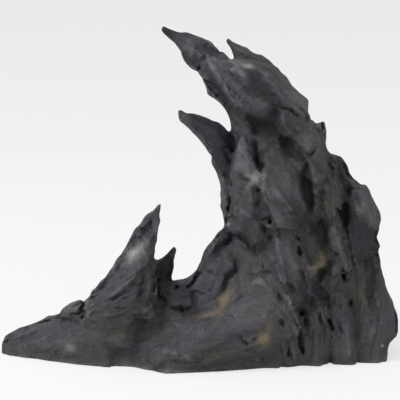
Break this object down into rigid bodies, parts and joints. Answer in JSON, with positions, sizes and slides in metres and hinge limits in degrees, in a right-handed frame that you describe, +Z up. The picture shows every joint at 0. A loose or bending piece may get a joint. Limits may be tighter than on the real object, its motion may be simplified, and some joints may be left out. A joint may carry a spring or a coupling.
{
  "type": "aquarium cave ornament",
  "caption": "Dark grey cast-resin rock shaped like a breaking wave, with pointed horns over a low toe, hollow inside, with an arched cave mouth at the back.",
  "frame": {"origin": "middle of the footprint, on the surface that the ornament stands on", "axes": "+X to the viewer's right along the longest side, +Y away from the viewer through the rock's depth, +Z up"},
  "size_m": [0.2448, 0.0975, 0.2028],
  "materials": {
    "rock_resin": "matte cast polyresin, washed dark in the hollows and dry-brushed lighter grey on raised edges, with faint beige and olive stains",
    "dowel_resin": "plain unpainted cast resin"
  },
  "bodies": {
    "root": {"front_shell": "rock_resin", "rear_shell": "rock_resin", "crest_core": "rock_resin", "toe_stone": "rock_resin", "spire_left": "rock_resin", "horn_long": "rock_resin", "buttress_right": "rock_resin", "back_pier_right": "rock_resin", "back_pier_left": "rock_resin", "buttress_front": "rock_resin", "hump_right": "rock_resin", "slab_back_right": "rock_resin", "back_slab_high": "rock_resin", "lintel_slab": "rock_resin", "crest_slab": "rock_resin", "horn_second": "rock_resin", "neck_ridge": "rock_resin", "horn_mid": "rock_resin", "slab_broad": "rock_resin", "slab_shoulder": "rock_resin", "slab_point": "rock_resin", "neck_slab": "rock_resin", "apron_slab": "rock_resin", "rib_right_a": "rock_resin", "rib_right_b": "rock_resin", "rib_right_c": "rock_resin", "back_slab_low": "rock_resin", "spire_rib": "rock_resin", "spire_small": "rock_resin", "toe_boulder": "rock_resin", "fin_right": "rock_resin", "seam_dowels": "dowel_resin", "crest_dowel_front": "dowel_resin", "crest_dowel_rear": "dowel_resin", "horn_long_dowel": "dowel_resin", "horn_mid_dowel": "dowel_resin", "spire_dowel": "dowel_resin"}
  },
  "joints": []
}
